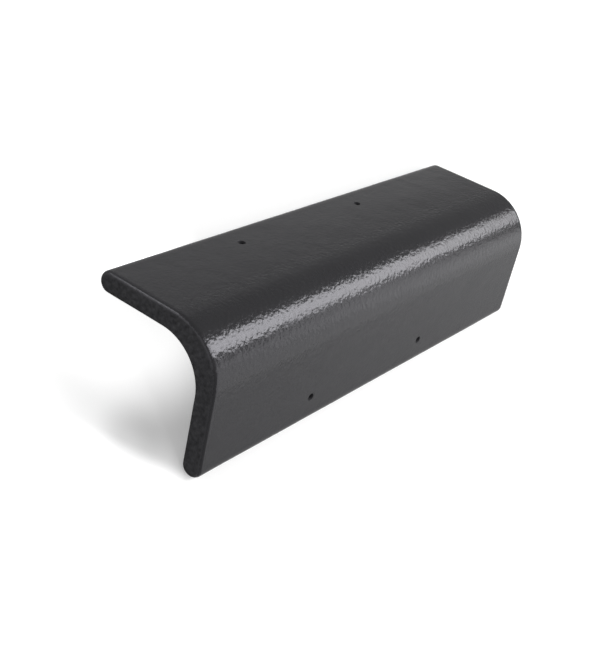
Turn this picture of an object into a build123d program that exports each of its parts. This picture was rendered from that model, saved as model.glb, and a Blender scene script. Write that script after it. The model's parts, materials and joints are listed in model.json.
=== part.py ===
from build123d import *
from math import cos, radians, sin
import os

# Concrete angle ridge tile, standing on its two long edges.
# The ridge runs along X, +Z is up, and the origin is on the ground under the middle of the tile.

# Driving dimensions, in millimetres and degrees
length = 450.0
angle_between_wings = 90.0
wing_width = 118.0
wing_thickness = 17.5
outer_bend_radius = 44.0
inner_bend_radius = 37.0
end_arris = 4.0
nail_hole_diameter = 4.5
nail_hole_from_edge = 24.8
first_hole_from_end = 125.5
second_hole_from_end = 167.5

# Directions in the cross-section, for the wing on the +Y side
half_angle = radians(angle_between_wings / 2)
down_wing = Vector(sin(half_angle), -cos(half_angle))
out_of_wing = Vector(cos(half_angle), sin(half_angle))

# The long edges are fully rounded, from one face of the wing to the other
edge_radius = wing_thickness / 2
straight_wing = wing_width - edge_radius

# The outer faces of the wings would meet in a sharp corner above the rounded crown.
# Its height puts the lowest point of each rounded long edge on the ground.
corner_height = straight_wing * cos(half_angle) + edge_radius * sin(half_angle) + edge_radius
outer_corner = Vector(0, corner_height)
inner_corner = outer_corner - Vector(0, wing_thickness / sin(half_angle))
outer_end = outer_corner + down_wing * straight_wing
inner_end = outer_end - out_of_wing * wing_thickness
edge_middle = outer_corner + down_wing * wing_width - out_of_wing * edge_radius


def other_side(point):
    """The same point of the cross-section on the wing opposite."""
    return Vector(-point.X, point.Y)


with BuildPart() as ridge_tile:
    # Cross-section: two straight wings and a crown that is thicker than they are,
    # because its inner and outer bends don't share a centre
    with BuildSketch(Plane.YZ):
        with BuildLine():
            FilletPolyline(
                other_side(outer_end), outer_corner, outer_end, radius=outer_bend_radius
            )
            FilletPolyline(
                other_side(inner_end), inner_corner, inner_end, radius=inner_bend_radius
            )
            ThreePointArc(outer_end, edge_middle, inner_end)
            ThreePointArc(*[other_side(point) for point in (outer_end, edge_middle, inner_end)])
        make_face()
    extrude(amount=length / 2, both=True)

    # Softened arrises round both cast ends
    ends = ridge_tile.faces().filter_by(Axis.X)
    fillet(ends.edges(), radius=end_arris)

    # Two nail holes near the long edge of each wing, square to its face
    hole_stations = (first_hole_from_end - length / 2, length / 2 - second_hole_from_end)
    hole_row = outer_corner + down_wing * (wing_width - nail_hole_from_edge)
    for side in (1, -1):
        face_of_wing = Plane(
            origin=(0, side * hole_row.X, hole_row.Y),
            x_dir=(1, 0, 0),
            z_dir=(0, side * out_of_wing.X, out_of_wing.Y),
        )
        with Locations(face_of_wing):
            with Locations(*[(station, 0) for station in hole_stations]):
                Hole(radius=nail_hole_diameter / 2, depth=2 * wing_thickness)

ridge_tile.part.label = "ridge_tile"

os.makedirs("parts", exist_ok=True)
export_step(ridge_tile.part, "parts/ridge_tile.step")
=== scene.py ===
import json
from math import cos, radians, sin, tan

import bmesh
import bpy
import numpy as np
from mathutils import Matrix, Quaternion, Vector


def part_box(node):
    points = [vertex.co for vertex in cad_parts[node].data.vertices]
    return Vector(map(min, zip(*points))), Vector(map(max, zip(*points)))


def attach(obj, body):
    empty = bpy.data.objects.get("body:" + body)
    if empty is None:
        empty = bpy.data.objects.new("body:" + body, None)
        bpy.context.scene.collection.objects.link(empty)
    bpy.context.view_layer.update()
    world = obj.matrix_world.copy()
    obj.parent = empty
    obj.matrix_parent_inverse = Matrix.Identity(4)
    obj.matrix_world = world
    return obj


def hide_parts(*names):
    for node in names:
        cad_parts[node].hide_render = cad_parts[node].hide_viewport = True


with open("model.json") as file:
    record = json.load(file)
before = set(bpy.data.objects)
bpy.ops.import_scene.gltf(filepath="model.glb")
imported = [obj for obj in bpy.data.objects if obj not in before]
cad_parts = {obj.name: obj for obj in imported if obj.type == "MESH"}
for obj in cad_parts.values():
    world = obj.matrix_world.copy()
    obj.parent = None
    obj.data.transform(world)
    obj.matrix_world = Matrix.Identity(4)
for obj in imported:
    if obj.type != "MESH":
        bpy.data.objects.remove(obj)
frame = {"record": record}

scene = bpy.context.scene
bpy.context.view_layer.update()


# Camera: close above the near end, looking down along the ridge, and turned on its side,
# because the tile stands on both long edges here and the picture holds it by one wing.
camera_place = Vector((-0.7346, -0.0086, 0.6140))
camera_aim = Vector((-0.0912, -0.0095, 0.0402))
camera_roll = radians(66.001)
camera_lens = 62.218
camera_film = 36.0
camera_sight = 30.0

bpy.ops.object.camera_add(location=camera_place)
camera = bpy.context.object
camera.name = "camera"
camera.data.lens = camera_lens
camera.data.sensor_width = camera_film
camera.data.clip_end = camera_sight
camera.rotation_mode = "QUATERNION"
level_view = (camera_aim - camera_place).to_track_quat("-Z", "Y")
camera.rotation_quaternion = level_view @ Quaternion((0, 0, 1), camera_roll)
scene.camera = camera


# Studio: a pale floor that shows white around the tile but keeps its shadow, a dim sky, and lamps.
# A long soft strip overhead, from behind the camera to the far end, draws the bright band along
# the crown, and dim walls and a paler horizon give the wings their sheen.
class Wire:
    """A socket in a node tree. Arithmetic on wires adds the Math nodes that it needs."""

    def __init__(self, tree, socket=None):
        self.tree = tree
        self.socket = socket

    def node(self, kind, settings=None, sockets=None, output=0):
        """Add a node, set it up, feed its sockets with values or wires, and give back an output."""
        made = self.tree.nodes.new(kind)
        for name, value in (settings or {}).items():
            setattr(made, name, value)
        for name, value in (sockets or {}).items():
            if isinstance(value, Wire):
                self.tree.links.new(value.socket, made.inputs[name])
            else:
                made.inputs[name].default_value = value
        return Wire(self.tree, made.outputs[output] if made.outputs else None)

    def ease(self, starts, ends, low, high):
        """Pass smoothly from low to high while this wire goes from one mark to the other."""
        marks = {"Value": self, "From Min": starts, "From Max": ends, "To Min": low, "To Max": high}
        return self.node("ShaderNodeMapRange", {"interpolation_type": "SMOOTHSTEP"}, marks)

    def worked_out(self, operation, first, second):
        return self.node("ShaderNodeMath", {"operation": operation}, {0: first, 1: second})

    def __add__(self, other):
        return self.worked_out("ADD", self, other)

    __radd__ = __add__

    def __sub__(self, other):
        return self.worked_out("SUBTRACT", self, other)

    def __rsub__(self, other):
        return self.worked_out("SUBTRACT", other, self)

    def __mul__(self, other):
        return self.worked_out("MULTIPLY", self, other)

    __rmul__ = __mul__


scene.view_settings.view_transform = "Standard"

# Seen by the camera, the floor is painted pale, and its glow turns it white away from the tile.
# The glow also shapes the shadow: it is stronger in a patch under the back wing, weaker in a
# smaller patch just past the near end, and stronger again beyond a line farther out.
floor_reach = 12.0
seen_paint = (0.72, 0.72, 0.72, 1.0)
tile_middle = (0.0, 0.0, 0.0)
glow_starts, all_white = 0.22, 0.60
floor_glow, white_glow = 0.30, 1.0
lit_patch = (-0.20, 0.05, 0.0)
lit_reach, lit_edge, lit_glow = 0.035, 0.097, 0.60
dim_patch = (-0.254, -0.038, 0.0)
dim_reach, dim_edge, dim_glow = 0.008, 0.038, -0.18
shadow_ends, shadow_edge, beyond_glow = -0.222, -0.206, 0.35

# Mirrored in the coat, it is a plain grey with painted shade, darker towards the far corner
floor_grey, far_grey = 0.45, 0.14
grey_fades, grey_faded = 0.60, 1.15
to_far_corner = (0.707, 0.707, 0.0)

bpy.ops.object.select_all(action="DESELECT")
bpy.ops.mesh.primitive_plane_add(size=floor_reach, location=(0, 0, 0))
floor = bpy.context.object
floor.name = "floor"
floor_finish = bpy.data.materials.new("pale floor")
floor_finish.use_nodes = True
floor_finish.node_tree.nodes.clear()
paint = Wire(floor_finish.node_tree)
on_floor = paint.node("ShaderNodeTexCoord", output="Object")


def measure(operation, other):
    """Vector Math's number for a place on the floor, such as its distance from another place."""
    return paint.node(
        "ShaderNodeVectorMath", {"operation": operation}, {0: on_floor, 1: other}, output="Value"
    )


far_out = measure("DOT_PRODUCT", to_far_corner)
glow_level = measure("DISTANCE", tile_middle).ease(glow_starts, all_white, floor_glow, white_glow)
glow_level += measure("DISTANCE", lit_patch).ease(lit_reach, lit_edge, lit_glow, 0.0)
glow_level += measure("DISTANCE", dim_patch).ease(dim_reach, dim_edge, dim_glow, 0.0)
glow_level += far_out.ease(shadow_ends, shadow_edge, beyond_glow, 0.0)
glow = paint.node("ShaderNodeEmission", sockets={"Strength": glow_level})
pale = paint.node("ShaderNodeBsdfDiffuse", sockets={"Color": seen_paint})
glowing = paint.node("ShaderNodeAddShader", sockets={0: pale, 1: glow})
grey = far_out.ease(grey_fades, grey_faded, floor_grey, far_grey)
matt = paint.node("ShaderNodeBsdfDiffuse", sockets={"Color": grey})
floor_seen = paint.node("ShaderNodeLightPath", output="Is Camera Ray")
upper_side = paint.node("ShaderNodeMixShader", sockets={0: floor_seen, 1: matt, 2: glowing})

# From below the floor is clear, so that the underside of the tile can be looked at
from_below = paint.node("ShaderNodeNewGeometry", output="Backfacing")
clear = paint.node("ShaderNodeBsdfTransparent")
both_sides = paint.node("ShaderNodeMixShader", sockets={0: from_below, 1: upper_side, 2: clear})
paint.node("ShaderNodeOutputMaterial", sockets={"Surface": both_sides})
floor.data.materials.append(floor_finish)

# The sky lights the tile dimly, more so from low down and from behind the back wing,
# and the camera sees it white
sky_level = 0.27
far_horizon, back_horizon = 0.33, 0.43
far_side, back_side = 0.50, 0.68
horizon_height = 0.30
white = (1.0, 1.0, 1.0, 1.0)
world = bpy.data.worlds.new("studio")
scene.world = world
world.use_nodes = True
world.node_tree.nodes.clear()
sky = Wire(world.node_tree)
direction = sky.node("ShaderNodeTexCoord", output="Generated")
upwards = sky.node("ShaderNodeSeparateXYZ", sockets={"Vector": direction}, output="Z")
to_back = sky.node("ShaderNodeSeparateXYZ", sockets={"Vector": direction}, output="Y")
horizon = to_back.ease(far_side, back_side, far_horizon, back_horizon)
sky_light = upwards.ease(0.0, horizon_height, horizon, sky_level)
dim_sky = sky.node("ShaderNodeBackground", sockets={"Color": white, "Strength": sky_light})
white_sky = sky.node("ShaderNodeBackground", sockets={"Color": white, "Strength": 1.0})
sky_seen = sky.node("ShaderNodeLightPath", output="Is Camera Ray")
whole_sky = sky.node("ShaderNodeMixShader", sockets={0: sky_seen, 1: dim_sky, 2: white_sky})
sky.node("ShaderNodeOutputWorld", sockets={"Surface": whole_sky})

lit_middle = Vector((0.0, 0.0, 0.04))


def soft_panel(name, azimuth, elevation, distance, width, height, level):
    """A lamp panel of the given brightness, seen from the tile in the given direction."""
    turn, rise = radians(azimuth), radians(elevation)
    towards = Vector((cos(rise) * cos(turn), cos(rise) * sin(turn), sin(rise)))
    bpy.ops.object.light_add(type="AREA", location=lit_middle + distance * towards)
    lamp = bpy.context.object
    lamp.name = name
    lamp.visible_camera = False
    lamp.data.shape = "RECTANGLE"
    lamp.data.size = width
    lamp.data.size_y = height
    lamp.data.energy = level * np.pi * width * height
    lamp.rotation_euler = (-towards).to_track_quat("-Z", "Y").to_euler()


# One long soft strip runs over the tile from behind the camera to the far end.
# Each of its lengths: elevation, azimuth, half-width in degrees and brightness.
strip_distance = 4.5
strip_step = 7.0
strip_lengths = (
    (96.0, -5.0, 9.3, 5.0),
    (89.0, -5.0, 9.3, 5.0),
    (82.0, -5.0, 9.3, 5.5),
    (75.0, -5.0, 9.3, 6.0),
    (68.0, -5.0, 9.3, 6.6),
    (61.0, -5.0, 9.3, 7.1),
    (54.0, -4.7, 9.7, 8.0),
    (47.0, -3.3, 10.1, 7.1),
    (40.0, -1.8, 9.3, 5.6),
    (33.0, -1.1, 8.0, 5.2),
    (26.0, 0.4, 7.2, 2.1),
)
strip_height = 2 * strip_distance * tan(radians(strip_step / 2))
for elevation, azimuth, half_width, level in strip_lengths:
    width = 2 * strip_distance * tan(radians(half_width))
    soft_panel("overhead strip", azimuth, elevation, strip_distance, width, strip_height, level)

# Panels round the tile: azimuth, elevation, distance, width, height and brightness
side_panels = (
    ("far wall", -26.0, 26.5, 3.2, 1.00, 1.60, 1.20),
    ("front wall", -56.0, 30.0, 3.2, 2.10, 1.70, 0.95),
    ("wall foot", -45.0, 7.4, 3.2, 3.50, 0.80, 0.66),
    ("near wall", 180.0, 30.0, 2.4, 2.1, 1.6, 0.65),
    ("back corner panel", 132.0, 6.0, 1.8, 1.6, 0.37, 2.7),
)
for panel in side_panels:
    soft_panel(*panel)


# Ridge tile: one unit of an angle ridge tile, cast in one piece of dark grey concrete.
# It is pressed in a mould, so the crown is thicker than the wings and its edges are soft, and its
# outer faces are sprayed with a glossy coat, which the cast ends and the underside do without.
low, high = (Vector(corner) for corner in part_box("ridge_tile"))
length = high.x - low.x
wing_width = 0.118
wall = 0.0175
outer_bend = 0.044
inner_bend = 0.037
end_arris = 0.004
half_turn = radians(45.0)
edge_radius = wall / 2
straight_wing = wing_width - edge_radius
corner_height = straight_wing * cos(half_turn) + edge_radius * sin(half_turn) + edge_radius

# Faces of the mesh along the ridge, in two goes, and round the section: across each flat of a
# wing, round the crown and its inner bend, round a quarter of a wing's tip, and across the arris
ridge_steps = (20, 14)
flat_steps = 40
bend_steps = 43
tip_steps = 9
arris_steps = 6

# How near counts as there, how square to an axis counts as facing it, and which angle as flat
slack = 0.0002
end_slack = 0.00001
facing = 0.9
flat_angle = radians(1.0)


def pick(kind, test):
    """In edit mode, select only the edges or faces that pass the test."""
    bpy.ops.mesh.select_mode(type={"edges": "EDGE", "faces": "FACE"}[kind])
    bpy.ops.mesh.select_all(action="DESELECT")
    shape = bmesh.from_edit_mesh(bpy.context.object.data)
    for item in getattr(shape, kind):
        if test(item):
            item.select_set(True)
    bmesh.update_edit_mesh(bpy.context.object.data)


def at(y, z):
    """A test for the edges that run along the tile at this place of its section."""
    return lambda edge: all(
        abs(end.co.y - y) < slack and abs(end.co.z - z) < slack for end in edge.verts
    )


def round_over(tests, radius, steps):
    """Round the edges that pass one of the tests, which are square, to a radius."""
    pick("edges", lambda edge: any(test(edge) for test in tests))
    bpy.ops.mesh.bevel(offset=radius, segments=steps, affect="EDGES", clamp_overlap=False)


# The square corner block lies under the origin, then both wings are drawn out of it:
# the back wing along +Y and the front wing along -Z
bpy.ops.object.select_all(action="DESELECT")
bpy.ops.mesh.primitive_cube_add(
    size=1.0, location=(0, wall / 2, -wall / 2), scale=(length, wall, wall)
)
tile = bpy.context.object
tile.name = "coated_ridge_tile"
bpy.ops.object.transform_apply(location=True, rotation=True, scale=True)
bpy.ops.object.mode_set(mode="EDIT")
pick("faces", lambda face: face.normal.y > facing)
bpy.ops.mesh.extrude_region_move(TRANSFORM_OT_translate={"value": (0, wing_width - wall, 0)})
pick("faces", lambda face: face.normal.z < -facing and face.calc_center_median().y < wall)
bpy.ops.mesh.extrude_region_move(TRANSFORM_OT_translate={"value": (0, 0, wall - wing_width)})
bpy.ops.mesh.select_all(action="SELECT")
bpy.ops.mesh.dissolve_limited(angle_limit=flat_angle)

# Crown, inner bend and the four edges of the wing tips, whose arcs meet in a full round:
# their radius is a hair under half the wall, and what is left between them is merged
nearly_round = 0.4995 * wall
arc_gap = 0.00005
round_over([at(0, 0)], outer_bend, bend_steps)
round_over([at(wall, -wall)], inner_bend, bend_steps)
round_over(
    [at(wing_width, 0), at(wing_width, -wall), at(0, -wing_width), at(wall, -wing_width)],
    nearly_round,
    tip_steps,
)
bpy.ops.mesh.select_all(action="SELECT")
bpy.ops.mesh.remove_doubles(threshold=arc_gap)
round_over(
    [lambda edge: abs(edge.verts[0].co.x + edge.verts[1].co.x) > length - slack],
    end_arris,
    arris_steps,
)

# The flats of the wings, from the bends to the rounded tips
flats = (
    wing_width - outer_bend - edge_radius,
    wing_width - wall - inner_bend - edge_radius,
)
pick("edges", lambda edge: min(abs(edge.calc_length() - flat) for flat in flats) < slack)
bpy.ops.mesh.subdivide(number_cuts=flat_steps - 1)

# Each cast end becomes a net that follows the wall round the bend. Its first corner is where a flat
# meets the back wing's tip, on the side from which the long way round is the way the fill takes.
for end, corner_depth in ((low.x, wall - end_arris), (high.x, end_arris)):
    pick("faces", lambda face: abs(face.calc_center_median().x - end) < end_slack)
    bpy.ops.mesh.delete(type="ONLY_FACE")
    pick("edges", lambda edge: edge.is_boundary)
    bpy.ops.mesh.select_mode(type="VERT")
    shape = bmesh.from_edit_mesh(tile.data)
    corner = Vector((end, straight_wing, -corner_depth))
    shape.select_history.add(min(shape.verts, key=lambda point: (point.co - corner).length))
    bpy.ops.mesh.fill_grid(span=bend_steps + 2 * flat_steps)

# Even rows along the ridge
row_length = length - 2 * end_arris
for count in ridge_steps:
    pick(
        "edges",
        lambda edge: abs(abs(edge.verts[0].co.x - edge.verts[1].co.x) - row_length) < slack,
    )
    bpy.ops.mesh.subdivide(number_cuts=count - 1)
    row_length /= count
bpy.ops.object.mode_set(mode="OBJECT")

# Stood on its two long edges, with its place in its mesh
tile.rotation_euler.x = -half_turn
tile.location.z = corner_height
bpy.ops.object.transform_apply(location=True, rotation=True, scale=True)

# The cast faces aren't quite even: each texture presses them in by up to its depth and never out.
# Its grain, its depth, the share of its range above which a face stays even, and where it lies.
cast_textures = (
    ("long waves", 0.030, 0.00028, 1.0, ""),
    ("ripples", 0.009, 0.00004, 1.0, ""),
    ("pits", 0.0030, 0.0006, 0.45, "cast ends"),
)
cast_skin = end_arris / 5
bpy.ops.object.mode_set(mode="EDIT")
pick("faces", lambda face: abs(face.calc_center_median().x) > length / 2 - cast_skin)
tile.vertex_groups.new(name="cast ends")
bpy.ops.object.vertex_group_assign()
bpy.ops.object.mode_set(mode="OBJECT")
for name, grain, deepest, even_share, group in cast_textures:
    texture = bpy.data.textures.new(name, "CLOUDS")
    texture.noise_scale = grain
    texture.use_color_ramp = True
    pressed, even = texture.color_ramp.elements
    pressed.color = (0.0, 0.0, 0.0, 1.0)
    even.color = (1.0, 1.0, 1.0, 1.0)
    even.position = even_share
    bpy.ops.object.modifier_add(type="DISPLACE")
    press = tile.modifiers[-1]
    press.texture = texture
    press.strength = deepest
    press.mid_level = 1.0
    press.vertex_group = group
    bpy.ops.object.modifier_apply(modifier=press.name)

# Four nail holes, pressed through the green concrete from outside, so that their rims roll in.
# Each step of a rim: how far it rises and how much wider the pin gets there.
nail_holes = [mount for mount in frame["record"]["mounts"] if mount["kind"] == "bore"]
hole_radius = nail_holes[0]["dims"]["r_mm"] / 1000
hole_sides = 32
beyond = 0.003
rim_steps = ((0.0012, 1.42), (0.0003, 1.08), (beyond, 1.0))
rim_depth = sum(rise for rise, _ in rim_steps[:-1])
pin_length = wall + beyond
bpy.ops.object.select_all(action="DESELECT")
bpy.ops.mesh.primitive_cylinder_add(
    vertices=hole_sides, radius=hole_radius, depth=pin_length, location=(0, 0, -pin_length / 2)
)
first_pin = bpy.context.object
bpy.ops.object.transform_apply(location=True, rotation=True, scale=True)
bpy.ops.object.mode_set(mode="EDIT")
bpy.ops.mesh.select_all(action="SELECT")
bpy.ops.transform.translate(value=(0, 0, -rim_depth))
pick("faces", lambda face: face.normal.z > facing)
for rise, spread in rim_steps:
    bpy.ops.mesh.extrude_region_move(TRANSFORM_OT_translate={"value": (0, 0, rise)})
    bpy.ops.transform.resize(value=(spread, spread, 1.0))
bpy.ops.object.mode_set(mode="OBJECT")
pins = [first_pin]
for _ in nail_holes[1:]:
    bpy.ops.object.duplicate()
    pins.append(bpy.context.object)
for pin, mount in zip(pins, nail_holes):
    outward = Vector(mount["axis"])
    pin.location = Vector(mount["pos_m"]) + outward * wall / 2
    pin.rotation_euler = outward.to_track_quat("Z", "Y").to_euler()
    pin.select_set(True)
bpy.ops.object.join()
all_pins = bpy.context.object
tile.select_set(True)
bpy.context.view_layer.objects.active = tile
bpy.ops.object.modifier_add(type="BOOLEAN")
punch = tile.modifiers[-1]
punch.object = all_pins
punch.operation = "DIFFERENCE"
punch.solver = "MANIFOLD"
bpy.ops.object.modifier_apply(modifier=punch.name)
bpy.data.objects.remove(all_pins)

soft_angle = radians(35.0)
bpy.ops.object.shade_smooth_by_angle(angle=soft_angle)

# Where the coat lies: 1 on the outer faces, fading out round the long edges and over the end
# arrises, down to nothing at the cast ends. The nail holes are left without it, and their bores
# are marked too, to be darkened with painted shade, because they lie in the dark.
coat_fade = (0.006, 0.011)
arris_fade = (0.0001, 0.0008, 0.0040)
arris_cover = (0.0, 0.58, 1.0)
bore_slack = 1.45
bore_start = wall / 2 - slack
places = np.empty(3 * len(tile.data.vertices))
tile.data.vertices.foreach_get("co", places)
places = places.reshape(-1, 3)
in_bore = np.zeros(len(places))
for mount in nail_holes:
    from_middle = places - np.array(mount["pos_m"])
    down_bore = from_middle @ np.array(mount["axis"])
    off_axis = np.linalg.norm(from_middle - np.outer(down_bore, mount["axis"]), axis=1)
    in_bore[(off_axis < hole_radius * bore_slack) & (down_bore < bore_start)] = 1.0
along_ridge, across, height = places.T
across = np.abs(across)
below_corner = height - corner_height
down_wing = across * sin(half_turn) - below_corner * cos(half_turn)
under_face = -across * cos(half_turn) - below_corner * sin(half_turn)
bend_centre = corner_height - outer_bend / cos(half_turn)
under_crown = outer_bend - np.hypot(across, height - bend_centre)
depth = np.where(down_wing < outer_bend, under_crown, under_face)
from_end = length / 2 - np.abs(along_ridge)
on_face = np.interp(depth, coat_fade, (1.0, 0.0))
on_length = np.interp(from_end, arris_fade, arris_cover)
coat_share = on_face * on_length * (1 - in_bore)

# The coat's pebbles stand out on the crown and are faint on the wings
pebbles_fade = (0.8 * outer_bend, 1.3 * outer_bend)
wing_pebbles = 0.20
pebble_share = np.interp(down_wing, pebbles_fade, (1.0, wing_pebbles))
# The bore mark also carries the painted shade in the nail holes
for name, share in (("coat", coat_share), ("bore", in_bore), ("pebbled", pebble_share)):
    tile.data.attributes.new(name, "FLOAT", "POINT").data.foreach_set("value", share)

# Finish: the coat is dark blue-grey and glossy over fine pebbles; bare concrete is matt and gritty.
# Where the coat runs out, the grit breaks its edge up.
coat_colour = (0.0228, 0.0226, 0.0241, 1.0)
bare_colour = (0.028, 0.028, 0.0295, 1.0)
gloss_tint = (0.935, 0.922, 1.0, 1.0)
gloss_share = 0.52
coat_gloss, bare_gloss = 0.21, 0.78
pebble_size, pebble_height = 0.0032, 0.00034
fine_size, fine_height = 0.0012, 0.000022
grit_size, grit_detail, grit_height = 0.0016, 3.0, 0.00040
grain_size, grain_detail, grain_share = 0.0034, 2.0, 2.8
mottle_size, mottle_detail, mottle_share = 0.025, 3.0, 0.22
# How much painted shade darkens the bores of the nail holes
bore_painted_shade = 0.85
broken_edge = 0.25
cover_gain, cover_loss = 3.0, -1.0

finish = bpy.data.materials.new("dark coated concrete")
finish.use_nodes = True
finish.node_tree.nodes.clear()
concrete = Wire(finish.node_tree)
here = concrete.node("ShaderNodeTexCoord", output="Object")


def lumps(size, detail=1.0):
    """Soft noise from 0 to 1 with lumps of this size."""
    return concrete.node(
        "ShaderNodeTexNoise", sockets={"Vector": here, "Scale": 1 / size, "Detail": detail}
    )


def marked(name):
    """What the tile's own attribute of this name says."""
    return concrete.node("ShaderNodeAttribute", {"attribute_name": name}, output="Fac")


pebbles = (lumps(pebble_size) - 0.5) * marked("pebbled")
grit = lumps(grit_size, grit_detail) - 0.5
coated = concrete.node(
    "ShaderNodeMath",
    {"operation": "MULTIPLY_ADD", "use_clamp": True},
    {0: marked("coat") + grit * broken_edge, 1: cover_gain, 2: cover_loss},
)
bared = 1 - coated
plain_colour = concrete.node(
    "ShaderNodeMix", {"data_type": "RGBA"}, {0: coated, 6: bare_colour, 7: coat_colour}, output=2
)
mottle = 1 - mottle_share / 2 + lumps(mottle_size, mottle_detail) * mottle_share
grains = 1 + (lumps(grain_size, grain_detail) - 0.5) * bared * grain_share
# Painted shade darkens the nail holes' bores; mottle and grain are the concrete's own tone
tone_and_bore_shade = mottle * grains * (1 - marked("bore") * bore_painted_shade)
colour = concrete.node(
    "ShaderNodeVectorMath", {"operation": "SCALE"}, {0: plain_colour, "Scale": tone_and_bore_shade}
)
relief = coated * coated * (pebbles * pebble_height + lumps(fine_size) * fine_height)
relief += bared * bared * grit * grit_height
normal = concrete.node(
    "ShaderNodeBump", sockets={"Strength": 1.0, "Distance": 1.0, "Height": relief}
)
surface = concrete.node(
    "ShaderNodeBsdfPrincipled",
    sockets={
        "Base Color": colour,
        "Roughness": coated * (coat_gloss - bare_gloss) + bare_gloss,
        "Specular IOR Level": gloss_share,
        "Specular Tint": gloss_tint,
        "Normal": normal,
    },
)
concrete.node("ShaderNodeOutputMaterial", sockets={"Surface": surface})
tile.active_material = finish

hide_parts("ridge_tile")
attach(tile, "root")
